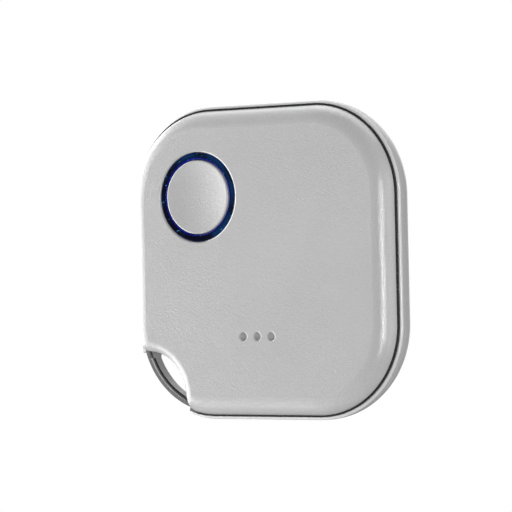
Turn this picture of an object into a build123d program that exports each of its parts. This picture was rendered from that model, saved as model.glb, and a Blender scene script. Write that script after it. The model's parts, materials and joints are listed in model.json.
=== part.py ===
from build123d import *
import os

# A square smart button, in millimetres.
# +X is to the right of someone facing it, +Z is up and the front face looks towards -Y.
# The origin is the middle of the flat rear face, and every height is counted from there to the front.

# Outline of the two covers and of the band of the frame between them
body_size = 36.0
corner_radius = 10.82
front_inset = 0.5
band_inset = 0.32

# Stack from the rear face to the front face
rear_wall = 0.6
cell_clearance = 0.05
cell_thickness = 3.2
contact_gap = 0.15
board_thickness = 0.5
component_gap = 0.7
front_wall = 0.8
front_skirt_depth = 1.75
band_height = 0.25

# Walls and edges of the covers
front_side_wall = 0.9
rear_side_wall = 1.0
front_edge_radius = 2.12
front_rim_chamfer = 0.04
front_cavity_radius = 0.4
rear_edge_radius = 3.2
rear_rim_radius = 0.28
rear_cavity_radius = 2.2

# Loop corner: a round notch through both covers, crossed by a bar of the frame
notch_inset_x = 2.21
notch_inset_z = 2.51
notch_radius = 5.33
notch_front_radius = 1.25
notch_rear_radius = 0.3
bar_inset = 0.77
bar_width = 0.8
bar_thickness = 1.5
bar_step_width = 0.4
bar_step_depth = 0.3
bar_step_margin = 0.8
bar_clearance = 0.15
loop_end_radius = 0.6

# Frame
front_fit = 0.1
front_collar_wall = 0.7
front_collar_height = 0.6
rear_fit = 0.15
rear_collar_wall = 0.8
rear_collar_depth = 1.2
ledge_width = 0.7
ledge_thickness = 0.5

# Snaps between the frame and the rear cover, and the slot that a coin goes in
snap_count = 4
snap_length = 6.0
snap_radius = 0.2
snap_bead_height = 0.1
snap_groove_depth = 0.1
snap_drop = 0.7
pry_slot_length = 3.0
pry_slot_height = 0.6
pry_slot_depth = 0.7
pry_slot_gap = 0.5

# Button cap and the light ring round it
button_inset_x = 10.19
button_inset_z = 10.41
button_radius = 4.25
button_gap = 0.1
button_travel = 0.2
button_dish_depth = 0.3
button_rim_width = 0.2
button_edge_radius = 0.12
button_skirt_wall = 0.6
button_ceiling_gap = 0.15
button_boss_radius = 0.9
button_floor_gap = 0.03
button_tab_count = 3
button_tab_angle = 30
button_tab_width = 1.2
button_tab_reach = 0.5
button_tab_gap = 0.02
ring_width = 0.82
ring_recess = 0.05
ring_edge_radius = 0.1
ring_flange_reach = 0.76
ring_flange_thickness = 0.25
opening_edge_radius = 0.2

# Sound holes, the mesh behind them and the piezo sounder
hole_count = 3
hole_pitch = 1.89
hole_radius = 0.47
hole_edge_radius = 0.14
sound_inset = 9.52
mesh_margin = 0.5
mesh_thickness = 0.08
sounder_radius = 6.0
sounder_gasket_width = 0.8
sounder_gasket_height = 0.25
sounder_plate_thickness = 0.1
ceramic_radius = 4.5
ceramic_thickness = 0.1
spring_length = 1.4
spring_width = 0.6
spring_sheet = 0.08

# Fit of the circuit board, and the posts of the front cover that hold it down
board_fit = 0.15
post_radius = 0.7
post_inset = 1.45
post_angles = (0, 90, 180, 315)

# Push switch on the board, under the cap
switch_size = 3.2
switch_height = 0.45
switch_lid_sheet = 0.05
switch_floor = 0.1
switch_cavity_radius = 1.25
switch_ear_width = 1.4
switch_ear_height = 0.3
stem_radius = 0.7
stem_gap = 0.05
stem_press_gap = 0.03
stem_foot_reach = 0.25
stem_foot_height = 0.1
dome_radius = 1.15
dome_rise = 0.17
dome_sheet = 0.05

# Parts soldered to the board
led_count = 4
led_first_angle = 45
led_length = 1.0
led_width = 0.5
led_height = 0.35
chip_inset_x = 9.5
chip_inset_z = 13.8
chip_size = 4.0
chip_height = 0.55
part_gap = 0.4
radio_crystal_length = 2.0
radio_crystal_width = 1.6
radio_crystal_height = 0.45
clock_crystal_length = 1.6
clock_crystal_width = 1.0
clock_crystal_height = 0.4
passive_inset_x = 11.5
passive_inset_z = 6.0
passive_pitch_x = 1.5
passive_pitch_z = 1.2
passive_columns = 4
passive_rows = 2
passive_length = 1.0
passive_width = 0.5
passive_height = 0.35
antenna_inset = 5.1
antenna_gap = 1.7
antenna_reach = 2.2
antenna_track = 0.3
antenna_pitch = 0.9
antenna_bars = 7
copper_thickness = 0.035
test_pad_margin = 0.4
test_pad_z = 2.0
test_pad_pitch = 1.8
test_pad_count = 5
test_pad_radius = 0.5

# Coin cell, its cradle and its two contacts
cell_radius = 10.0
cell_can_height = 2.85
cell_rim_width = 1.1
cell_cap_depth = 0.3
cell_gasket_width = 0.5
cell_edge_radius = 0.3
cell_cap_edge_radius = 0.15
cell_crimp_radius = 0.12
cradle_gap = 0.15
cradle_wall = 0.6
cradle_clearance = 0.15
cradle_lip_width = 0.7
cradle_lip_gap = 0.05
cradle_rear_gap = 0.25
finger_slot_width = 7.0
finger_slot_angle = 315
finger_slot_bridge = 0.4
contact_sheet = 0.12
contact_clearance = 0.03
contact_angle = 135
contact_width = 4.0
contact_foot_length = 2.0
contact_rear_gap = 0.35
contact_window_margin = 0.3
negative_arm_length = 9.0
negative_arm_width = 2.4

# How far a cut runs past the faces that it cuts, and the share of the body within which two lengths are the same
overrun = 1.0
rounding_share = 1e-6

# Half sizes, radii and places that follow from the sizes above
body_half = body_size / 2
corner_centre = body_half - corner_radius
front_half = body_half - front_inset
band_half = body_half - band_inset
notch_place = (notch_inset_x - body_half, notch_inset_z - body_half)
loop_corner = (-corner_centre, -corner_centre)
button_place = (button_inset_x - body_half, body_half - button_inset_z)
sound_place = (0, sound_inset - body_half)
pry_slot_place = (-body_half, (snap_length + pry_slot_length) / 2 + pry_slot_gap)

# Heights above the rear face
cell_bottom = rear_wall + cell_clearance
cell_top = cell_bottom + cell_thickness
cell_can_top = cell_bottom + cell_can_height
board_bottom = cell_top + contact_gap
board_top = board_bottom + board_thickness
front_ceiling = board_top + component_gap
front_face = front_ceiling + front_wall
front_rim = front_face - front_skirt_depth
rear_rim = front_rim - band_height

# Each outline inside the body is a half size and the radius that the loop notch has there
front_cavity = (front_half - front_side_wall, notch_radius + front_side_wall)
rear_cavity = (body_half - rear_side_wall, notch_radius + rear_side_wall)
front_collar = (front_cavity[0] - front_fit, front_cavity[1] + front_fit)
rear_collar = (rear_cavity[0] - rear_fit, rear_cavity[1] + rear_fit)
rear_collar_inside = (rear_collar[0] - rear_collar_wall, rear_collar[1] + rear_collar_wall)
board_pocket = (front_collar[0] - front_collar_wall, front_collar[1] + front_collar_wall)
ledge_inside = (board_pocket[0] - ledge_width, board_pocket[1] + ledge_width)
board_outline = (board_pocket[0] - board_fit, board_pocket[1] + board_fit)

bar_top = front_rim
bar_bottom = bar_top - bar_thickness
bar_outer_radius = body_half - bar_inset - corner_centre
bar_inner_radius = bar_outer_radius - bar_width
snap_height = rear_rim - snap_drop

ring_inner_radius = button_radius + button_gap
opening_radius = ring_inner_radius + ring_width
ring_flange_radius = opening_radius + ring_flange_reach
ring_flange_bottom = front_ceiling - ring_flange_thickness
switch_lid_bottom = board_top + switch_height
switch_lid_top = switch_lid_bottom + switch_lid_sheet
stem_bottom = board_top + switch_floor + dome_rise + dome_sheet
stem_top = switch_lid_top + button_travel + stem_press_gap
button_ceiling = switch_lid_top + button_travel + button_ceiling_gap
button_skirt_bottom = board_top + button_travel + button_floor_gap
button_tab_top = ring_flange_bottom - button_tab_gap

sounder_plate_front = front_ceiling - sounder_gasket_height
ceramic_front = sounder_plate_front - sounder_plate_thickness
ceramic_rear = ceramic_front - ceramic_thickness

cradle_inner_radius = cell_radius + cradle_gap
cradle_outer_radius = cradle_inner_radius + cradle_wall
cradle_rear = cell_bottom + cradle_rear_gap
cell_cap_radius = cell_radius - cell_rim_width
cell_offset = ledge_inside[0] - cradle_clearance - cradle_outer_radius
cell_place = (cell_offset, -cell_offset)

# Places of the parts on the board, counted from the edges of the body and from each other
chip_place = (body_half - chip_inset_x, body_half - chip_inset_z)
radio_crystal_z = chip_place[1] + (chip_size + radio_crystal_width) / 2 + part_gap
clock_crystal_z = radio_crystal_z + (radio_crystal_width + clock_crystal_width) / 2 + part_gap
passive_place = (body_half - passive_inset_x, body_half - passive_inset_z)
antenna_place = (body_half - antenna_inset, post_radius + antenna_gap + antenna_bars * antenna_pitch / 2)
test_pad_place = (test_pad_margin + test_pad_radius - ledge_inside[0], test_pad_z)


def level(height):
    """A sketch plane at this height above the rear face, facing the front."""
    return Plane.XZ.offset(height)


def turned(place, angle):
    """A place on a sketch whose own X direction is turned by this angle."""
    return Location((place[0], place[1], 0), (0, 0, angle))


def disc(place, radius, bottom, top, mode=Mode.ADD):
    """Adds a round plate between two heights to the piece that is being made, or cuts it out."""
    with BuildSketch(level(bottom)) as outline:
        with Locations(place):
            Circle(radius)
    extrude(outline.sketch, amount=top - bottom, mode=mode)


def block(place, angle, along, across, bottom, top, mode=Mode.ADD):
    """Adds a rectangular plate, given as its two spans along and across the angle, or cuts it out."""
    with BuildSketch(level(bottom)) as outline:
        with Locations(turned(place, angle)):
            with Locations(((along[0] + along[1]) / 2, (across[0] + across[1]) / 2)):
                Rectangle(along[1] - along[0], across[1] - across[0])
    extrude(outline.sketch, amount=top - bottom, mode=mode)


def centred(size):
    """The span of this size about the middle."""
    return (-size / 2, size / 2)


def rounded_plate(half_size, bottom, top):
    """Adds the body's rounded square, whose corner centres all its outlines share."""
    with BuildSketch(level(bottom)) as outline:
        RectangleRounded(2 * half_size, 2 * half_size, half_size - corner_centre)
    extrude(outline.sketch, amount=top - bottom)


def notched_plate(outline_sizes, bottom, top, mode=Mode.ADD):
    """Adds the rounded square with the loop corner cut away, or cuts it out."""
    half_size, cut_radius = outline_sizes
    with BuildSketch(level(bottom)) as outline:
        RectangleRounded(2 * half_size, 2 * half_size, half_size - corner_centre)
        with Locations(notch_place):
            Circle(cut_radius, mode=Mode.SUBTRACT)
    extrude(outline.sketch, amount=top - bottom, mode=mode)


def front_side(piece):
    """The face of a piece that is nearest to the front."""
    return piece.faces().sort_by(Axis.Y)[0]


def rear_side(piece):
    """The face of a piece that is nearest to the rear."""
    return piece.faces().sort_by(Axis.Y)[-1]


def round_edges(face, radius):
    """The circular edges of a face that have this radius."""
    rounding = rounding_share * body_size
    circles = face.edges().filter_by(GeomType.CIRCLE)
    return circles.filter_by(lambda edge: abs(edge.radius - radius) < rounding)


def save(piece, name):
    """Names a finished piece and writes it to its own file."""
    piece.part.label = name
    export_step(piece.part, f"parts/{name}.step")


os.makedirs("parts", exist_ok=True)

# The opening of the loop: the notch as far as the bar, with rounded ends
with BuildSketch(level(bar_bottom)) as loop_opening:
    with Locations(notch_place):
        Circle(notch_radius)
    with Locations(loop_corner):
        Circle(bar_inner_radius, mode=Mode.INTERSECT)
    fillet(loop_opening.vertices(), loop_end_radius)

# The space inside the rear cover
with BuildPart() as rear_space:
    rounded_plate(rear_cavity[0], rear_wall, rear_rim + overrun)
    fillet(rear_side(rear_space).edges(), rear_cavity_radius)
    disc(notch_place, rear_cavity[1], 0, front_face, mode=Mode.SUBTRACT)

# The room that the two roots of the loop's bar have in the rim of the rear cover
with BuildPart() as bar_room:
    disc(notch_place, rear_collar[1] + bar_clearance, bar_bottom - bar_clearance, rear_rim)
    disc(loop_corner, bar_outer_radius + bar_clearance, 0, front_face, mode=Mode.INTERSECT)
    disc(loop_corner, bar_inner_radius - bar_clearance, 0, front_face, mode=Mode.SUBTRACT)

# The space inside the front cover
with BuildPart() as front_space:
    rounded_plate(front_cavity[0], front_rim - overrun, front_ceiling)
    fillet(front_side(front_space).edges(), front_cavity_radius)
    disc(notch_place, front_cavity[1], 0, front_face, mode=Mode.SUBTRACT)

# What the band of the frame leaves out at the upper end of the bar, where it is only as wide as the bar
with BuildPart() as band_end:
    disc(notch_place, rear_collar[1], rear_rim, front_rim)
    disc(loop_corner, bar_outer_radius, rear_rim, front_rim, mode=Mode.SUBTRACT)
    block(notch_place, 0, (-body_half, 0), (0, body_half), rear_rim, front_rim, mode=Mode.INTERSECT)

# Rear cover: a shallow tray with a large rear edge, snap grooves and a coin slot
with BuildPart() as rear_cover:
    rounded_plate(body_half, 0, rear_rim)
    fillet(rear_side(rear_cover).edges(), rear_edge_radius)
    fillet(front_side(rear_cover).edges(), rear_rim_radius)
    disc(notch_place, notch_radius, 0, front_face, mode=Mode.SUBTRACT)
    fillet(round_edges(rear_side(rear_cover), notch_radius), notch_rear_radius)
    add(rear_space.part, mode=Mode.SUBTRACT)
    add(bar_room.part, mode=Mode.SUBTRACT)
    with Locations(level(snap_height)):
        with PolarLocations(rear_cavity[0] + snap_groove_depth - snap_radius, snap_count):
            Cylinder(snap_radius, snap_length, rotation=(90, 0, 0), mode=Mode.SUBTRACT)
    block(pry_slot_place, 0, (-overrun, pry_slot_depth), centred(pry_slot_length),
          rear_rim - pry_slot_height, rear_rim, mode=Mode.SUBTRACT)

save(rear_cover, "rear_cover")

# Frame: a band between the covers, a collar into each, the ledge of the board and the bar of the loop
with BuildPart() as mid_frame:
    notched_plate((band_half, notch_radius), rear_rim, front_rim)
    add(band_end.part, mode=Mode.SUBTRACT)
    notched_plate(front_collar, front_rim, front_rim + front_collar_height)
    notched_plate(rear_collar, rear_rim - rear_collar_depth, rear_rim)
    notched_plate(board_pocket, board_bottom, front_face, mode=Mode.SUBTRACT)
    notched_plate(ledge_inside, 0, front_face, mode=Mode.SUBTRACT)
    notched_plate(rear_collar_inside, 0, board_bottom - ledge_thickness, mode=Mode.SUBTRACT)
    with BuildSketch(level(bar_bottom)):
        with Locations(notch_place):
            Circle(rear_collar[1])
        with Locations(loop_corner):
            Circle(bar_outer_radius, mode=Mode.INTERSECT)
            Circle(bar_inner_radius, mode=Mode.SUBTRACT)
    extrude(amount=bar_thickness)
    with BuildSketch(level(bar_bottom)):
        with Locations(notch_place):
            Circle(notch_radius - bar_clearance)
        with Locations(loop_corner):
            Circle(bar_inner_radius, mode=Mode.INTERSECT)
        add(loop_opening.sketch, mode=Mode.SUBTRACT)
    extrude(amount=rear_rim - bar_bottom)
    with BuildSketch(level(rear_rim)):
        with Locations(notch_place):
            Circle(notch_radius)
        with Locations(loop_corner):
            Circle(bar_inner_radius, mode=Mode.INTERSECT)
        add(loop_opening.sketch, mode=Mode.SUBTRACT)
    extrude(amount=band_height)
    with BuildSketch(level(bar_top - bar_step_depth)):
        with Locations(notch_place):
            Circle(notch_radius - bar_step_margin)
        with Locations(loop_corner):
            Circle(bar_outer_radius - bar_step_width, mode=Mode.INTERSECT)
    extrude(amount=bar_step_depth, mode=Mode.SUBTRACT)
    with Locations(level(snap_height)):
        with PolarLocations(rear_collar[0] + snap_bead_height - snap_radius, snap_count):
            Cylinder(snap_radius, snap_length, rotation=(90, 0, 0))

save(mid_frame, "mid_frame")

# Front cover: a shell with the button's opening, the sound holes and the posts that hold the board.
# Its rim cuts the rounded edge off where that is almost upright.
with BuildPart() as front_cover:
    rounded_plate(front_half, front_rim - overrun, front_face)
    fillet(front_side(front_cover).edges(), front_edge_radius)
    split(bisect_by=level(front_rim), keep=Keep.TOP)
    chamfer(rear_side(front_cover).edges(), front_rim_chamfer)
    disc(notch_place, notch_radius, 0, front_face, mode=Mode.SUBTRACT)
    fillet(round_edges(front_side(front_cover), notch_radius), notch_front_radius)
    add(front_space.part, mode=Mode.SUBTRACT)
    disc(button_place, opening_radius, front_ceiling, front_face, mode=Mode.SUBTRACT)
    with BuildSketch(level(front_ceiling)):
        with Locations(sound_place):
            with GridLocations(hole_pitch, hole_pitch, hole_count, 1):
                Circle(hole_radius)
    extrude(amount=front_wall, mode=Mode.SUBTRACT)
    fillet(round_edges(front_side(front_cover), opening_radius), opening_edge_radius)
    fillet(round_edges(front_side(front_cover), hole_radius), hole_edge_radius)
    for post_angle in post_angles:
        with BuildSketch(level(board_top)):
            with Locations(turned((0, 0), post_angle)):
                with Locations((board_outline[0] - post_inset, 0)):
                    Circle(post_radius)
        extrude(amount=component_gap)

save(front_cover, "front_cover")

# Light ring: a clear guide in the opening, with a flange under the cover that the LEDs shine into
with BuildPart() as light_ring:
    disc(button_place, ring_flange_radius, ring_flange_bottom, front_ceiling)
    disc(button_place, opening_radius, front_ceiling, front_face - ring_recess)
    disc(button_place, ring_inner_radius, ring_flange_bottom, front_face, mode=Mode.SUBTRACT)
    fillet(front_side(light_ring).edges(), ring_edge_radius)

save(light_ring, "light_ring")

# Button cap: a dished disc with a skirt, a boss over the switch and tabs that catch under the light ring
dish_radius = button_radius - button_rim_width
dish_sphere_radius = (dish_radius**2 + button_dish_depth**2) / (2 * button_dish_depth)
dish_sphere_height = front_face - button_dish_depth + dish_sphere_radius

with BuildPart() as button_cap:
    disc(button_place, button_radius, button_skirt_bottom, front_face)
    fillet(front_side(button_cap).edges(), button_edge_radius)
    with Locations((button_place[0], -dish_sphere_height, button_place[1])):
        Sphere(dish_sphere_radius, mode=Mode.SUBTRACT)
    disc(button_place, button_radius - button_skirt_wall, button_skirt_bottom, button_ceiling,
         mode=Mode.SUBTRACT)
    disc(button_place, button_boss_radius, stem_top, button_ceiling)
    with BuildSketch(level(button_skirt_bottom)):
        with Locations(button_place):
            with PolarLocations(button_radius, button_tab_count, start_angle=button_tab_angle):
                Rectangle(2 * button_tab_reach, button_tab_width)
    extrude(amount=button_tab_top - button_skirt_bottom)

save(button_cap, "button_cap")

# Circuit board
with BuildPart() as circuit_board:
    notched_plate(board_outline, board_bottom, board_top)

save(circuit_board, "circuit_board")

# Push switch: a moulded base, a snap dome, a stem and a steel lid with two ears
with BuildPart() as switch_base:
    block(button_place, 0, centred(switch_size), centred(switch_size), board_top, switch_lid_bottom)
    disc(button_place, switch_cavity_radius, board_top + switch_floor, switch_lid_bottom, mode=Mode.SUBTRACT)

save(switch_base, "switch_base")

dome_foot = board_top + switch_floor
switch_origin = (button_place[0], 0, button_place[1])

with BuildPart() as switch_dome:
    with BuildSketch(Plane(switch_origin, x_dir=(1, 0, 0), z_dir=(0, 0, -1))):
        with BuildLine():
            TangentArc((0, dome_foot + dome_rise), (dome_radius, dome_foot), tangent=(1, 0))
            Line((dome_radius, dome_foot), (dome_radius, dome_foot + dome_sheet))
            TangentArc((0, stem_bottom), (dome_radius, dome_foot + dome_sheet), tangent=(1, 0))
            Line((0, stem_bottom), (0, dome_foot + dome_rise))
        make_face()
    revolve(axis=Axis(switch_origin, (0, -1, 0)))

save(switch_dome, "switch_dome")

with BuildPart() as switch_stem:
    disc(button_place, stem_radius, stem_bottom, stem_top)
    disc(button_place, stem_radius + stem_foot_reach, stem_bottom, stem_bottom + stem_foot_height)

save(switch_stem, "switch_stem")

ear_span = (switch_size / 2, switch_size / 2 + switch_lid_sheet)

with BuildPart() as switch_lid:
    block(button_place, 0, centred(switch_size + 2 * switch_lid_sheet), centred(switch_size),
          switch_lid_bottom, switch_lid_top)
    for ear_angle in (0, 180):
        block(button_place, ear_angle, ear_span, centred(switch_ear_width),
              switch_lid_top - switch_ear_height, switch_lid_top)
    disc(button_place, stem_radius + stem_gap, switch_lid_bottom, switch_lid_top, mode=Mode.SUBTRACT)

save(switch_lid, "switch_lid")

# LEDs under the flange of the light ring
with BuildPart() as status_leds:
    with BuildSketch(level(board_top)):
        with Locations(button_place):
            with PolarLocations((opening_radius + ring_flange_radius) / 2, led_count, start_angle=led_first_angle):
                Rectangle(led_width, led_length)
    extrude(amount=led_height)

save(status_leds, "status_leds")

# Radio chip, its two crystals and the small parts round it
with BuildPart() as radio_chip:
    block(chip_place, 0, centred(chip_size), centred(chip_size), board_top, board_top + chip_height)

save(radio_chip, "radio_chip")

with BuildPart() as radio_crystal:
    block((chip_place[0], radio_crystal_z), 0,
          centred(radio_crystal_length), centred(radio_crystal_width), board_top, board_top + radio_crystal_height)

save(radio_crystal, "radio_crystal")

with BuildPart() as clock_crystal:
    block((chip_place[0], clock_crystal_z), 0,
          centred(clock_crystal_length), centred(clock_crystal_width), board_top, board_top + clock_crystal_height)

save(clock_crystal, "clock_crystal")

with BuildPart() as board_passives:
    with BuildSketch(level(board_top)):
        with Locations(passive_place):
            with GridLocations(passive_pitch_x, passive_pitch_z, passive_columns, passive_rows):
                Rectangle(passive_length, passive_width)
    extrude(amount=passive_height)

save(board_passives, "board_passives")

# Antenna: a copper track that winds up the edge of the board
antenna_turn = (antenna_reach - antenna_track) / 2
first_turn_z = antenna_place[1] + antenna_pitch - antenna_bars * antenna_pitch / 2

with BuildPart() as antenna_track_copper:
    with BuildSketch(level(board_top)):
        with Locations(antenna_place):
            with GridLocations(antenna_reach, antenna_pitch, 1, antenna_bars):
                Rectangle(antenna_reach, antenna_track)
        for turn in range(antenna_bars - 1):
            side = antenna_turn if turn % 2 else -antenna_turn
            with Locations((antenna_place[0] + side, first_turn_z + turn * antenna_pitch)):
                Rectangle(antenna_track, antenna_pitch)
    extrude(amount=copper_thickness)

save(antenna_track_copper, "antenna_track")

# Test pads on the rear of the board
with BuildPart() as test_pads:
    with BuildSketch(level(board_bottom - copper_thickness)):
        with Locations(test_pad_place):
            with GridLocations(test_pad_pitch, test_pad_pitch, 1, test_pad_count):
                Circle(test_pad_radius)
    extrude(amount=copper_thickness)

save(test_pads, "test_pads")

# Mesh behind the sound holes
mesh_radius = hole_pitch * (hole_count - 1) / 2 + hole_radius + mesh_margin

with BuildPart() as sound_mesh:
    disc(sound_place, mesh_radius, front_ceiling - mesh_thickness, front_ceiling)

save(sound_mesh, "sound_mesh")

# Piezo sounder: a gasket under the cover, a brass plate, its ceramic and the two springs that feed it
with BuildPart() as sounder_gasket:
    disc(sound_place, sounder_radius, sounder_plate_front, front_ceiling)
    disc(sound_place, sounder_radius - sounder_gasket_width, sounder_plate_front, front_ceiling,
         mode=Mode.SUBTRACT)

save(sounder_gasket, "sounder_gasket")

with BuildPart() as sounder_plate:
    disc(sound_place, sounder_radius, ceramic_front, sounder_plate_front)

save(sounder_plate, "sounder_plate")

with BuildPart() as sounder_ceramic:
    disc(sound_place, ceramic_radius, ceramic_rear, ceramic_front)

save(sounder_ceramic, "sounder_ceramic")

plate_spring_place = ((ceramic_radius + sounder_radius) / 2, sound_place[1])
spring_tops = ((sound_place, ceramic_rear), (plate_spring_place, ceramic_front))
spring_back = (-spring_width / 2, spring_sheet - spring_width / 2)

with BuildPart() as sounder_springs:
    for spring_place, spring_top in spring_tops:
        for leaf_bottom in (board_top, spring_top - spring_sheet):
            block(spring_place, 0, centred(spring_width), centred(spring_length),
                  leaf_bottom, leaf_bottom + spring_sheet)
        block(spring_place, 0, spring_back, centred(spring_length), board_top, spring_top)

save(sounder_springs, "sounder_springs")

# Coin cell: the positive can at the rear, the negative cap at the board and the gasket between them
cell_cap_foot = cell_can_top - cell_cap_depth

with BuildPart() as cell_can:
    disc(cell_place, cell_radius, cell_bottom, cell_can_top)
    fillet(rear_side(cell_can).edges(), cell_edge_radius)
    fillet(front_side(cell_can).edges(), cell_crimp_radius)
    disc(cell_place, cell_cap_radius + cell_gasket_width, cell_cap_foot, cell_can_top, mode=Mode.SUBTRACT)

save(cell_can, "cell_can")

with BuildPart() as cell_cap:
    disc(cell_place, cell_cap_radius, cell_cap_foot, cell_top)
    fillet(front_side(cell_cap).edges(), cell_cap_edge_radius)

save(cell_cap, "cell_cap")

with BuildPart() as cell_gasket:
    disc(cell_place, cell_cap_radius + cell_gasket_width, cell_cap_foot, cell_can_top)
    disc(cell_place, cell_cap_radius, cell_cap_foot, cell_can_top, mode=Mode.SUBTRACT)

save(cell_gasket, "cell_gasket")

# Cradle of the cell: a wall on the board with a lip, a window for the contact and a slot for a finger nail
contact_window = contact_width + 2 * contact_window_margin
cradle_span = (0, cradle_outer_radius + overrun)

with BuildPart() as battery_cradle:
    disc(cell_place, cradle_outer_radius, cradle_rear, board_bottom)
    disc(cell_place, cradle_inner_radius, cradle_rear, cell_can_top + cradle_lip_gap, mode=Mode.SUBTRACT)
    disc(cell_place, cradle_inner_radius - cradle_lip_width, cradle_rear, board_bottom, mode=Mode.SUBTRACT)
    block(cell_place, contact_angle, cradle_span, centred(contact_window), cradle_rear, board_bottom,
          mode=Mode.SUBTRACT)
    block(cell_place, finger_slot_angle, cradle_span, centred(finger_slot_width), cradle_rear,
          board_bottom - finger_slot_bridge, mode=Mode.SUBTRACT)

save(battery_cradle, "battery_cradle")

# Contacts: a leaf against the side of the can, and a cross under the cap
leaf_near = cell_radius + contact_clearance
leaf_far = leaf_near + contact_sheet

with BuildPart() as positive_contact:
    block(cell_place, contact_angle, (leaf_near, leaf_far), centred(contact_width),
          cell_bottom + contact_rear_gap, board_bottom)
    block(cell_place, contact_angle, (leaf_near, leaf_far + contact_foot_length), centred(contact_width),
          board_bottom - contact_sheet, board_bottom)

save(positive_contact, "positive_contact")

with BuildPart() as negative_contact:
    for arm_angle in (0, 90):
        block(cell_place, arm_angle, centred(negative_arm_length), centred(negative_arm_width),
              board_bottom - contact_sheet, board_bottom)

save(negative_contact, "negative_contact")
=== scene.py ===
import json
import math

import bmesh
import bpy
from mathutils import Matrix, Vector


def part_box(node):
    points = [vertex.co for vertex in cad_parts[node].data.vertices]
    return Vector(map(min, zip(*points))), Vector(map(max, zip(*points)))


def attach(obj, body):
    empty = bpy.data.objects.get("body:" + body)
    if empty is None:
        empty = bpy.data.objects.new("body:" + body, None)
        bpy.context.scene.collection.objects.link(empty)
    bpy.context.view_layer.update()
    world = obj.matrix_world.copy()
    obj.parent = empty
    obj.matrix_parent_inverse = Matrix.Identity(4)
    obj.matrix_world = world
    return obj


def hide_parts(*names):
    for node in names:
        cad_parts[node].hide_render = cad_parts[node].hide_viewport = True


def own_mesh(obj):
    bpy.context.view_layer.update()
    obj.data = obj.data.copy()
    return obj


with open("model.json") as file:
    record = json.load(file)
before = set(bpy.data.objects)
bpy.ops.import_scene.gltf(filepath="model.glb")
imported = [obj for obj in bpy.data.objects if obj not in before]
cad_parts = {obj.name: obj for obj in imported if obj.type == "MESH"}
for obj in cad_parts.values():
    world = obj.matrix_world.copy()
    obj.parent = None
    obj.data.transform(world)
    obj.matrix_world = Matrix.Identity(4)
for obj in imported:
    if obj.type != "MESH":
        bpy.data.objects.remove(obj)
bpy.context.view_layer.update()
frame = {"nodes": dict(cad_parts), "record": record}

# Lengths are written in millimetres and turned into metres by this
mm = 0.001

# Camera, found by fitting the object's edges in the 512 by 512 picture. It looks level when turned by
# level_turn, and each turn is a square matrix of this size
camera_place = (175.67, -272.04, -1.81)
camera_turn = 33.42
camera_tilt = 0.44
camera_roll = -1.246
camera_lens = 197.8
camera_sensor = 36.0
camera_clip = (10.0, 10000.0)
level_turn = 90.0
matrix_size = 4

# Floor, well below the object, which hangs free as in the picture
floor_height = -520.0
floor_size = 6000.0
floor_colour = (0.5, 0.5, 0.5)
floor_own_white = 0.77

# World: white to the camera and in reflections of what is on the left, above and behind, dim in others,
# and a plain level for the light on the object
backdrop_strength = 1.0
white_reflection_strength = 1.2
dim_reflection_strength = 0.12
ambient_strength = 0.42
white_side = (-1.0, 0.6, 0.55)
white_side_edges = (0.6, 0.85)

# Nodes: where most of a noise lies, how many finer layers a noise has, where a ramp's new stop waits for
# its place, the sockets of a mix of colours, and what keeps a place's parts across the depth of the
# object
noise_span = (0.3, 0.7)
noise_detail = 2.0
new_stop_place = 0.5
mix_inputs = (0, 6, 7)
mix_output = 2
across_depth = (1, 0, 1)

# Cover plastic: size of its grain, of its specks and of its clouds, greys of the clouds without and with
# specks, roughness, and size and depth of its relief
cover_ior = 1.8
cover_grain = 0.11
cover_grain_detail = 3.0
cover_specks = 0.13
cover_speck_span = (0.25, 0.75)
cover_clouds = 9.0
cover_greys = (0.4, 0.42)
cover_speck_greys = (0.49, 0.51)
cover_roughness = (0.14, 0.22)
cover_relief = 0.17
cover_relief_depth = 0.03
cover_grain_depth = 0.02

# Rear cover: the height of its rim above its rear face, how far the paler line on the rim, a painted
# highlight, reaches from it, how soft the line's end on the rim is, and its clouds and greys
rear_rim_height = 4.0
painted_rim_highlight_reach = 0.3
painted_rim_highlight_soft = 0.02
painted_rim_highlight_clouds = 2.0
painted_rim_highlight_greys = (0.66, 0.7)

# Covers: a painted highlight on the edges round the key and the sound holes, where they face left. These
# edges lie within these distances of the key's axis and of the middle hole. Then how soft that limit is, how
# much of their normals points to the front and how much to the right, the clouds and greys of the painted
# highlight, and the same for the walls inside the holes, which take a paler grey as painted light
key_edge_reach = 5.6
middle_hole = (0.0, -8.48)
hole_edge_reach = 2.6
edge_reach_soft = 0.1
painted_highlight_front_share = [(0.25, 0.0), (0.4, 1.0), (0.97, 1.0), (0.995, 0.0)]
painted_highlight_right_share = (-0.2, -0.05)
painted_light_clouds = 0.4
painted_highlight_greys = (0.94, 0.98)
painted_wall_light_front_share = (0.25, 0.4)
painted_wall_light_greys = (0.5, 0.54)

# Light ring: the key's axis, the ring's radii, its colours from the inner edge to the outer one where it is
# deep and where it is teal, with painted light in the vivid blue at the inner edge, what parts these, its
# painted glints, its roughness and its relief
key_axis = (-7.81, 7.59)
ring_ior = 1.45
ring_inner_radius = 4.35
ring_outer_radius = 5.17
ring_deep_colours_with_painted_light = [(0.0, (0.0, 0.01, 0.3)), (0.12, (0.0, 0.002, 0.12)), (0.2, (0.0, 0.0, 0.012)),
                     (0.8, (0.0, 0.0, 0.006)), (1.0, (0.0, 0.006, 0.05))]
ring_teal_colours_with_painted_light = [(0.0, (0.0, 0.01, 0.4)), (0.12, (0.0, 0.003, 0.2)), (0.22, (0.0, 0.004, 0.05)),
                     (0.6, (0.0, 0.028, 0.085)), (1.0, (0.0, 0.008, 0.09))]
ring_clouds = 3.2
ring_cloud_span = (0.46, 0.62)
ring_glints = 0.28
ring_glint_span = (0.68, 0.74)
ring_glint_clouds = 0.5
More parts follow.
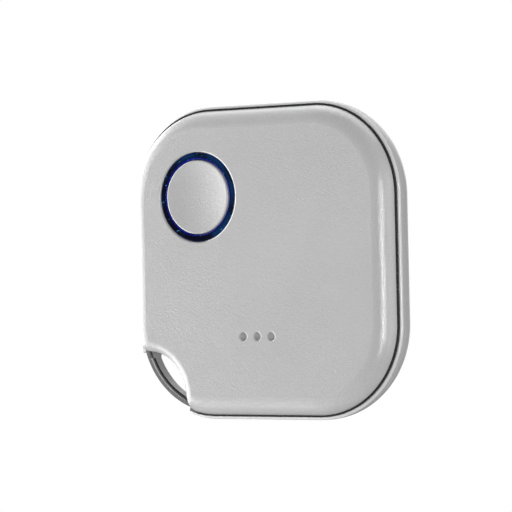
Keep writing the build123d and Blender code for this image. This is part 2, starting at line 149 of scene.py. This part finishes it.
ring_glint_colours = [(0.0, (0.0, 0.0, 0.0)), (1.0, (0.1, 0.5, 0.9))]
ring_haze = 0.4
ring_roughness = (0.04, 0.08)
ring_relief = 0.35
ring_relief_depth = 0.003

# Frame: its greys, roughness and relief, the middle of the loop, how far round it the plastic is painted
# paler as painted light let through the bar, the centre and the radii of the bar, the greys of its walls,
# with painted light and a painted reflection, and of its flat front and rear, with painted shade in its
# recess, which go from its inner wall to its outer edge, and how much of a normal points to the front or the
# rear between the two
frame_ior = 1.4
frame_clouds = 2.0
frame_greys = (0.02, 0.03)
frame_haze = 0.4
frame_roughness = (0.2, 0.3)
frame_relief = 0.3
frame_relief_depth = 0.002
loop_centre = (-15.79, -15.49)
loop_painted_light_reach = 5.6
loop_painted_light_soft = 1.0
loop_corner = (-7.18, -7.18)
bar_radii = (9.15, 10.15)
bar_wall_painted_light_greys = [(0.0, 0.33), (0.2, 0.33), (0.3, 0.8), (0.6, 0.8), (1.0, 0.17)]
bar_flat_greys_with_painted_shade = [(0.0, 0.15), (0.1, 0.15), (0.13, 0.02), (0.3, 0.02), (0.36, 0.11), (0.46, 0.11),
                  (0.56, 0.16), (1.0, 0.17)]
bar_flat_share = (0.6, 0.8)

# Plain finishes: how far the roughness goes to each side, how deep the relief is where a finish doesn't
# say so, and how many times finer it is than the grain
plain_roughness_side = 0.06
plain_relief = 0.004
plain_relief_finer = 4
plain_finishes = {
    "board_laminate": {"low": (0.01, 0.1, 0.03), "high": (0.02, 0.14, 0.05), "rough": 0.3, "grain": 0.5},
    "black_moulding": {"low": (0.02, 0.02, 0.02), "high": (0.03, 0.03, 0.03), "rough": 0.5, "grain": 0.3},
    "spring_steel": {"low": (0.55, 0.55, 0.55), "high": (0.65, 0.65, 0.65), "rough": 0.25, "grain": 0.4,
                     "metal": 1.0},
    "led_resin": {"low": (0.7, 0.7, 0.6), "high": (0.8, 0.8, 0.7), "rough": 0.2, "grain": 0.3},
    "ceramic_brown": {"low": (0.25, 0.17, 0.1), "high": (0.35, 0.25, 0.15), "rough": 0.4, "grain": 0.2},
    "copper": {"low": (0.6, 0.3, 0.17), "high": (0.75, 0.4, 0.25), "rough": 0.3, "grain": 0.3, "metal": 1.0},
    "gold_plate": {"low": (0.75, 0.55, 0.25), "high": (0.85, 0.65, 0.33), "rough": 0.25, "grain": 0.3,
                   "metal": 1.0},
    "grey_mesh": {"low": (0.5, 0.5, 0.5), "high": (0.54, 0.54, 0.54), "rough": 0.5, "grain": 0.15,
                  "relief": 0.001},
    "foam": {"low": (0.03, 0.03, 0.03), "high": (0.05, 0.05, 0.05), "rough": 0.8, "grain": 0.1},
    "brass": {"low": (0.6, 0.45, 0.2), "high": (0.7, 0.55, 0.27), "rough": 0.3, "grain": 0.5, "metal": 1.0},
    "ceramic_white": {"low": (0.7, 0.7, 0.7), "high": (0.8, 0.8, 0.8), "rough": 0.4, "grain": 0.3},
    "cell_steel": {"low": (0.6, 0.6, 0.6), "high": (0.7, 0.7, 0.7), "rough": 0.22, "grain": 0.8,
                   "metal": 1.0},
}

# Snap dome of the switch: its sheet, its rings and sides, and how near its points are joined
dome_sheet = 0.05
dome_rings = 16
dome_sides = 64
dome_join = 0.0001

# Softboxes: place round the object in degrees (azimuth from the front to the right, elevation), distance
# and size in millimetres, and radiance, where 1 is white
softboxes = {
    "left_box": {"azimuth": -61.5, "elevation": -10.5, "distance": 750.0, "width": 437.0, "height": 652.0,
                 "radiance": 4.6},
    "left_wrap": {"azimuth": -93.0, "elevation": 2.0, "distance": 750.0, "width": 400.0, "height": 800.0,
                  "radiance": 3.5},
    "low_strip": {"azimuth": -57.0, "elevation": -48.0, "distance": 600.0, "width": 210.0, "height": 90.0,
                  "radiance": 2.5},
    "right_strip": {"azimuth": 39.0, "elevation": -5.5, "distance": 600.0, "width": 84.0, "height": 244.0,
                    "radiance": 24.0},
    "right_fill": {"azimuth": 88.0, "elevation": 0.0, "distance": 600.0, "width": 480.0, "height": 600.0,
                   "radiance": 1.1},
    "top_back": {"azimuth": -128.0, "elevation": 46.0, "distance": 600.0, "width": 340.0, "height": 240.0,
                 "radiance": 0.9},
    "top_fill": {"azimuth": 180.0, "elevation": 70.0, "distance": 600.0, "width": 700.0, "height": 500.0,
                 "radiance": 1.4},
    "back_fill": {"azimuth": 232.0, "elevation": 5.0, "distance": 600.0, "width": 400.0, "height": 400.0,
                  "radiance": 2.0},
}


def make_camera():
    """The camera, which looks from the right of the object along its depth."""
    camera = bpy.data.objects.new("camera", bpy.data.cameras.new("camera"))
    bpy.context.scene.collection.objects.link(camera)
    camera.data.lens = camera_lens
    camera.data.sensor_width = camera_sensor
    camera.data.clip_start, camera.data.clip_end = [reach * mm for reach in camera_clip]
    turn = Matrix.Rotation(math.radians(camera_turn), matrix_size, "Z")
    tilt = Matrix.Rotation(math.radians(level_turn + camera_tilt), matrix_size, "X")
    roll = Matrix.Rotation(math.radians(camera_roll), matrix_size, "Z")
    camera.matrix_world = Matrix.Translation(Vector(camera_place) * mm) @ turn @ tilt @ roll
    bpy.context.scene.camera = camera


class Finish:
    """A procedural material: a principled shader and the nodes that drive it, in the object's frame."""

    def __init__(self, name, **sockets):
        self.material = bpy.data.materials.new(name)
        self.material.use_nodes = True
        self.tree = self.material.node_tree
        self.shader = self.tree.nodes["Principled BSDF"]
        coordinates = self.add("ShaderNodeTexCoord")
        self.place = coordinates.outputs["Object"]
        self.normal = coordinates.outputs["Normal"]
        self.set(self.shader, **sockets)

    def add(self, kind, **sockets):
        """A new node, with values on its own sockets."""
        node = self.tree.nodes.new(kind)
        self.set(node, **sockets)
        return node

    def set(self, node, **sockets):
        """Sets values on a node's sockets, whose names are written here with an underline for each space."""
        for name, value in sockets.items():
            node.inputs[name.replace("_", " ")].default_value = value

    def link(self, output, node, socket):
        """Joins an output to a node's socket."""
        self.tree.links.new(output, node.inputs[socket])

    def noise(self, size, detail=noise_detail):
        """Noise whose grains are about this large, in millimetres."""
        node = self.add("ShaderNodeTexNoise", Scale=1 / (size * mm), Detail=detail)
        self.link(self.place, node, "Vector")
        return node.outputs["Fac"]

    def spread(self, factor, low, high, start=noise_span[0], end=noise_span[1]):
        """A factor spread between two numbers."""
        node = self.add("ShaderNodeMapRange", From_Min=start, From_Max=end, To_Min=low, To_Max=high)
        self.link(factor, node, "Value")
        return node.outputs["Result"]

    def combine(self, operation, *values):
        """One number worked out from others."""
        node = self.add("ShaderNodeMath")
        node.operation = operation
        for socket, value in enumerate(values):
            self.link(value, node, socket)
        return node.outputs["Value"]

    def ramp(self, factor, stops):
        """A colour that follows a factor through (position, colour) stops."""
        node = self.add("ShaderNodeValToRGB")
        self.link(factor, node, "Fac")
        elements = node.color_ramp.elements
        while len(elements) < len(stops):
            elements.new(new_stop_place)
        for element, (position, colour) in zip(elements, stops):
            element.position = position
            element.color = (*colour, 1)
        return node.outputs["Color"]

    def grey_ramp(self, factor, stops):
        """A grey that follows a factor through (position, grey) stops."""
        return self.ramp(factor, [(position, grey(value)) for position, value in stops])

    def clouds(self, noise, low, high):
        """A colour that follows a noise between two others."""
        return self.ramp(noise, list(zip(noise_span, (low, high))))

    def grey_clouds(self, noise, greys):
        """A grey that follows a noise between two others."""
        return self.clouds(noise, *[grey(value) for value in greys])

    def part(self, vector, axis):
        """The part of a place or of a normal along one axis."""
        node = self.add("ShaderNodeSeparateXYZ")
        self.link(vector, node, "Vector")
        return node.outputs[axis]

    def flatness(self):
        """How much of the normal points to the front or to the rear."""
        return self.combine("ABSOLUTE", self.part(self.normal, "Y"))

    def distance(self, axis):
        """The distance from a line along the depth of the object, through this place in millimetres."""
        flat = self.add("ShaderNodeVectorMath")
        flat.operation = "MULTIPLY"
        flat.inputs[1].default_value = across_depth
        self.link(self.place, flat, 0)
        away = self.add("ShaderNodeVectorMath")
        away.operation = "DISTANCE"
        away.inputs[1].default_value = (axis[0] * mm, 0, axis[1] * mm)
        self.link(flat.outputs["Vector"], away, 0)
        return away.outputs["Value"]

    def within(self, axis, reach, soft):
        """One inside this distance from a line along the depth, and zero past the soft end."""
        return self.spread(self.distance(axis), 1, 0, start=reach * mm, end=(reach + soft) * mm)

    def mix(self, factor, low, high):
        """A colour between two others."""
        node = self.add("ShaderNodeMix")
        node.data_type = "RGBA"
        for socket, output in zip(mix_inputs, (factor, low, high)):
            self.link(output, node, socket)
        return node.outputs[mix_output]

    def bump(self, height, depth):
        """A relief of this depth in millimetres, on top of the one that is there."""
        node = self.add("ShaderNodeBump", Distance=depth * mm, Strength=1)
        self.link(height, node, "Height")
        before = self.shader.inputs["Normal"].links
        if before:
            self.link(before[0].from_socket, node, "Normal")
        self.link(node.outputs["Normal"], self.shader, "Normal")

    def colour(self, output):
        """Drives the base colour."""
        self.link(output, self.shader, "Base Color")

    def rough(self, output):
        """Drives the roughness."""
        self.link(output, self.shader, "Roughness")


def grey(value):
    """A neutral colour."""
    return (value, value, value)


def cover_colour(finish):
    """Clouded grey with fine specks, and a painted highlight as a paler line on the rim of the rear cover."""
    clouds = finish.noise(cover_clouds)
    plain = finish.mix(finish.spread(finish.noise(cover_specks), 0, 1, *cover_speck_span),
                       finish.grey_clouds(clouds, cover_greys), finish.grey_clouds(clouds, cover_speck_greys))
    # Painted highlight: the rear cover's rim takes a paler grey in a band at this depth
    depth = finish.part(finish.place, "Y")
    in_front = finish.spread(depth, 1, 0, start=-rear_rim_height * mm, end=(painted_rim_highlight_reach - rear_rim_height) * mm)
    on_rear = finish.spread(depth, 0, 1, start=-(rear_rim_height + painted_rim_highlight_soft) * mm,
                            end=-rear_rim_height * mm)
    rim_painted_highlight = finish.grey_clouds(finish.noise(painted_rim_highlight_clouds), painted_rim_highlight_greys)
    return finish.mix(finish.combine("MULTIPLY", in_front, on_rear), plain, rim_painted_highlight)


def cover_plastic():
    """Light grey moulded plastic with a fine texture, a painted highlight on the edges round the key and the
    sound holes where they face left, and paler walls inside the sound holes as painted light.
    """
    finish = Finish("cover_plastic", IOR=cover_ior)
    flatness = finish.flatness()
    by_key, by_holes = [finish.within(place, reach - edge_reach_soft, edge_reach_soft)
                        for place, reach in ((key_axis, key_edge_reach), (middle_hole, hole_edge_reach))]
    # Painted highlight: the edges round the key and the sound holes that face left take a paler grey
    facing_left = finish.spread(finish.part(finish.normal, "X"), 1, 0, *painted_highlight_right_share)
    on_edge = finish.combine("MULTIPLY", finish.grey_ramp(flatness, painted_highlight_front_share), facing_left)
    edge = finish.combine("MULTIPLY", on_edge, finish.combine("MAXIMUM", by_key, by_holes))
    # Painted light: the walls inside the sound holes take a paler grey than the cover
    wall = finish.combine("MULTIPLY", by_holes, finish.spread(flatness, 1, 0, *painted_wall_light_front_share))
    edge_painted_highlight, wall_painted_light = [finish.grey_clouds(finish.noise(painted_light_clouds), greys)
                    for greys in (painted_highlight_greys, painted_wall_light_greys)]
    finish.colour(finish.mix(wall, finish.mix(edge, cover_colour(finish), edge_painted_highlight), wall_painted_light))
    grain = finish.noise(cover_grain, cover_grain_detail)
    finish.rough(finish.spread(grain, *cover_roughness))
    finish.bump(finish.noise(cover_relief), cover_relief_depth)
    finish.bump(grain, cover_grain_depth)
    return finish.material


def frame_plastic():
    """Smooth smoke-grey plastic of the frame, painted paler at the loop's bar for the light let through it,
    with painted reflections and painted shade in bands across the bar.
    """
    finish = Finish("frame_plastic", IOR=frame_ior)
    # Painted light at the loop: the bar's paler greys stand in for light through it, its walls carry painted
    # reflections and its recess a painted shade
    near_loop = finish.within(loop_centre, loop_painted_light_reach, loop_painted_light_soft)
    across = finish.spread(finish.distance(loop_corner), 0, 1, *[radius * mm for radius in bar_radii])
    flat, wall = [finish.grey_ramp(across, stops) for stops in (bar_flat_greys_with_painted_shade, bar_wall_painted_light_greys)]
    bar = finish.mix(finish.spread(finish.flatness(), 0, 1, *bar_flat_share), wall, flat)
    finish.colour(finish.mix(near_loop, finish.grey_clouds(finish.noise(frame_clouds), frame_greys), bar))
    finish.rough(finish.spread(finish.noise(frame_haze), *frame_roughness))
    finish.bump(finish.noise(frame_relief), frame_relief_depth)
    return finish.material


def light_guide():
    """Blue light guide, with painted light making it brighter where it meets the key, navy across its face,
    with painted glints.
    """
    finish = Finish("light_guide", IOR=ring_ior)
    across = finish.spread(finish.distance(key_axis), 0, 1, ring_inner_radius * mm, ring_outer_radius * mm)
    # Painted light: vivid blue where the guide meets the key
    depth = finish.mix(finish.spread(finish.noise(ring_clouds), 0, 1, *ring_cloud_span),
                       finish.ramp(across, ring_deep_colours_with_painted_light), finish.ramp(across, ring_teal_colours_with_painted_light))
    # Painted glints: paler blue specks
    glint = finish.ramp(finish.noise(ring_glint_clouds), ring_glint_colours)
    finish.colour(finish.mix(finish.spread(finish.noise(ring_glints), 0, 1, *ring_glint_span), depth, glint))
    finish.rough(finish.spread(finish.noise(ring_haze), *ring_roughness))
    finish.bump(finish.noise(ring_relief), ring_relief_depth)
    return finish.material


def plain_finish(name, low, high, rough, grain, metal=0.0, relief=plain_relief):
    """A finish that varies a little between two colours, with a fine relief."""
    finish = Finish(name, Metallic=metal)
    noise = finish.noise(grain)
    finish.colour(finish.clouds(noise, low, high))
    finish.rough(finish.spread(noise, rough - plain_roughness_side, rough + plain_roughness_side))
    finish.bump(finish.noise(grain / plain_relief_finer), relief)
    return finish.material


def softbox(name, azimuth, elevation, distance, width, height, radiance):
    """A rectangular lamp that faces the object."""
    lamp = bpy.data.lights.new(name, "AREA")
    lamp.shape = "RECTANGLE"
    lamp.size = width * mm
    lamp.size_y = height * mm
    lamp.energy = radiance * math.pi * lamp.size * lamp.size_y
    box = bpy.data.objects.new(name, lamp)
    bpy.context.scene.collection.objects.link(box)
    across, up = math.radians(azimuth), math.radians(elevation)
    towards = Vector((math.sin(across) * math.cos(up), -math.cos(across) * math.cos(up), math.sin(up)))
    box.location = towards * distance * mm
    box.rotation_mode = "QUATERNION"
    box.rotation_quaternion = towards.to_track_quat("Z", "Y")
    box.visible_camera = False


def world_step(tree, factor, low, high, start=0.0, end=1.0):
    """A level between two others, each a number or another node's output, by a factor."""
    node = tree.nodes.new("ShaderNodeMapRange")
    node.inputs["From Min"].default_value = start
    node.inputs["From Max"].default_value = end
    tree.links.new(factor, node.inputs["Value"])
    for socket, level in (("To Min", low), ("To Max", high)):
        if isinstance(level, float):
            node.inputs[socket].default_value = level
        else:
            tree.links.new(level, node.inputs[socket])
    return node.outputs["Result"]


def make_world():
    """White to the camera, to reflections and through glass, and plain soft light on the object."""
    world = bpy.data.worlds.new("studio")
    bpy.context.scene.world = world
    world.use_nodes = True
    tree = world.node_tree
    background = tree.nodes["Background"]
    background.inputs["Color"].default_value = (1, 1, 1, 1)
    rays = tree.nodes.new("ShaderNodeLightPath")
    behind_left = tree.nodes.new("ShaderNodeVectorMath")
    behind_left.operation = "DOT_PRODUCT"
    behind_left.inputs[1].default_value = white_side
    tree.links.new(tree.nodes.new("ShaderNodeTexCoord").outputs["Generated"], behind_left.inputs[0])
    reflected = world_step(tree, behind_left.outputs["Value"], dim_reflection_strength,
                           white_reflection_strength, *white_side_edges)
    level = world_step(tree, rays.outputs["Is Glossy Ray"], ambient_strength, reflected)
    for shown in ("Is Camera Ray", "Is Transmission Ray"):
        level = world_step(tree, rays.outputs[shown], level, backdrop_strength)
    tree.links.new(level, background.inputs["Strength"])


def floor_paint():
    """A matt paint that also glows for the camera, so that it looks white and keeps the object's shadow."""
    material = bpy.data.materials.new("floor")
    material.use_nodes = True
    tree = material.node_tree
    tree.nodes.remove(tree.nodes["Principled BSDF"])
    paint = tree.nodes.new("ShaderNodeBsdfDiffuse")
    paint.inputs["Color"].default_value = (*floor_colour, 1)
    glow = tree.nodes.new("ShaderNodeEmission")
    rays = tree.nodes.new("ShaderNodeLightPath")
    share = tree.nodes.new("ShaderNodeMath")
    share.operation = "MULTIPLY"
    share.inputs[1].default_value = floor_own_white
    both = tree.nodes.new("ShaderNodeAddShader")
    tree.links.new(rays.outputs["Is Camera Ray"], share.inputs[0])
    tree.links.new(share.outputs["Value"], glow.inputs["Strength"])
    tree.links.new(paint.outputs["BSDF"], both.inputs[0])
    tree.links.new(glow.outputs["Emission"], both.inputs[1])
    tree.links.new(both.outputs["Shader"], tree.nodes["Material Output"].inputs["Surface"])
    return material


def make_floor():
    """A plain pale floor below the object."""
    half = floor_size * mm / 2
    height = floor_height * mm
    mesh = bpy.data.meshes.new("floor")
    corners = [(-half, -half, height), (half, -half, height), (half, half, height), (-half, half, height)]
    mesh.from_pydata(corners, [], [tuple(range(len(corners)))])
    mesh.materials.append(floor_paint())
    floor = bpy.data.objects.new("floor", mesh)
    bpy.context.scene.collection.objects.link(floor)


def dome_mesh(centre, radius, rise):
    """A thin sheet that is part of a ball, with its rim round this centre and its top to the front."""
    crown = (radius ** 2 + rise ** 2) / (2 * rise)
    reaches = [radius * ring / dome_rings for ring in range(dome_rings + 1)]
    profile = [(reach, rise - crown + math.sqrt(crown ** 2 - reach ** 2)) for reach in reaches]
    profile += [(reach, height + dome_sheet * mm) for reach, height in reversed(profile)]
    shape = bmesh.new()
    points = [shape.verts.new((centre.x + reach, centre.y - height, centre.z)) for reach, height in profile]
    edges = [shape.edges.new(pair) for pair in zip(points, points[1:])]
    bmesh.ops.spin(shape, geom=points + edges, cent=centre, axis=(0, 1, 0), angle=math.tau, steps=dome_sides)
    bmesh.ops.remove_doubles(shape, verts=shape.verts, dist=dome_join * mm)
    bmesh.ops.recalc_face_normals(shape, faces=shape.faces)
    mesh = bpy.data.meshes.new("snap_dome")
    shape.to_mesh(mesh)
    shape.free()
    mesh.shade_smooth()
    return mesh


def snap_dome():
    """The switch's thin steel dome, which the stem presses flat in the real switch; here its mesh keeps its
    shape.
    """
    low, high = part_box("switch_dome")
    centre = Vector(((low.x + high.x) / 2, high.y, (low.z + high.z) / 2))
    mesh = dome_mesh(centre, radius=(high.x - low.x) / 2, rise=high.y - low.y - dome_sheet * mm)
    mesh.materials.append(finishes["spring_steel"])
    dome = bpy.data.objects.new("snap_dome", mesh)
    bpy.context.scene.collection.objects.link(dome)
    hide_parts("switch_dome")
    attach(dome, "main_unit")
    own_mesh(dome)


make_camera()
make_world()
make_floor()
for box_name, box_sizes in softboxes.items():
    softbox(box_name, **box_sizes)

finishes = {"cover_plastic": cover_plastic(), "frame_plastic": frame_plastic(), "light_guide": light_guide()}
for finish_name, finish_values in plain_finishes.items():
    finishes[finish_name] = plain_finish(finish_name, **finish_values)

slot_of = {part["node"]: part["material_slot"] for part in frame["record"]["subparts"]}
for node_name, cad_object in frame["nodes"].items():
    cad_object.data.materials.clear()
    cad_object.data.materials.append(finishes[slot_of[node_name]])

snap_dome()

bpy.context.scene.view_settings.view_transform = "Standard"
